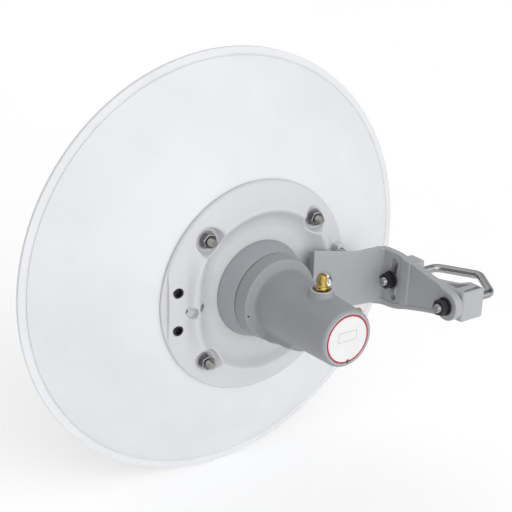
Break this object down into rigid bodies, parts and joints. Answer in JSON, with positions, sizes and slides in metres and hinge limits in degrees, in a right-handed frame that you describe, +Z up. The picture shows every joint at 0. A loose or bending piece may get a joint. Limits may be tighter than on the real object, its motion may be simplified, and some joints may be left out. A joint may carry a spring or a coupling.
{
  "type": "dish antenna with quick-lock adaptor and pole clamp",
  "caption": "Small white microwave dish with a cast back plate, a grey quick-lock radio adaptor, and a cast bracket that tilts on a V-jaw pole clamp.",
  "frame": {"origin": "centre of the clamp block's flat that faces the pole, between its two V jaws", "axes": "+X from the clamp block into the pole space, +Y along the boresight out of the dish's front, +Z up"},
  "size_m": [0.41, 0.2513, 0.41],
  "materials": {
    "reflector": "satin powder coat",
    "back_plate": "satin powder coat on casting",
    "plate_washer": "dull plated",
    "plate_nut": "dull plated",
    "plate_bolt": "zinc plated",
    "port_socket": "satin powder coat",
    "feed_tube": "satin",
    "feed_cone": "matt",
    "sub_reflector": "satin",
    "adaptor_body": "satin powder coat",
    "end_label": "printed film",
    "connector": "gold plated",
    "latch_lever": "matt",
    "latch_button": "matt",
    "latch_pin": "bright",
    "bracket": "satin powder coat on casting",
    "bracket_screw": "zinc plated",
    "bracket_bolt": "bright plated",
    "clamp_block": "satin powder coat on casting",
    "u_bolt": "bright plated",
    "clamp_washer": "black coated",
    "clamp_nut": "black coated"
  },
  "bodies": {
    "clamp": {"clamp_block": "clamp_block", "u_bolt": "u_bolt", "slot_washer": "clamp_washer", "slot_nut": "clamp_nut", "pivot_washer": "clamp_washer", "pivot_nut": "clamp_nut"},
    "dish": {"reflector": "reflector", "back_plate": "back_plate", "plate_washer_1": "plate_washer", "plate_washer_2": "plate_washer", "plate_washer_3": "plate_washer", "plate_washer_4": "plate_washer", "plate_nut_1": "plate_nut", "plate_nut_2": "plate_nut", "plate_nut_3": "plate_nut", "plate_nut_4": "plate_nut", "plate_bolt_1": "plate_bolt", "plate_bolt_2": "plate_bolt", "plate_bolt_3": "plate_bolt", "plate_bolt_4": "plate_bolt", "port_socket": "port_socket", "feed_tube": "feed_tube", "feed_cone": "feed_cone", "sub_reflector": "sub_reflector", "bracket": "bracket", "bracket_screw_1": "bracket_screw", "bracket_screw_2": "bracket_screw", "bracket_bolt": "bracket_bolt"},
    "adaptor": {"adaptor_body": "adaptor_body", "end_label": "end_label", "connector_top": "connector", "connector_side": "connector", "latch_pin": "latch_pin"},
    "latch": {"latch_lever": "latch_lever", "latch_button": "latch_button"}
  },
  "joints": [
    {"name": "elevation", "type": "hinge", "parent": "clamp", "child": "dish", "pos_m": [-0.011, -0.03525, 0], "axis": [1, 0, 0], "range_deg": [-12, 12]},
    {"name": "port_twist", "type": "hinge", "parent": "dish", "child": "adaptor", "pos_m": [-0.13, 0.063, 0], "axis": [0, -1, 0], "range_deg": [0, 30]},
    {"name": "latch_press", "type": "hinge", "parent": "adaptor", "child": "latch", "pos_m": [-0.13, 0.04075, -0.033], "axis": [-1, 0, 0], "range_deg": [0, 3], "stiffness_Nm_per_rad": 0.3, "springref_deg": -8.59}
  ]
}
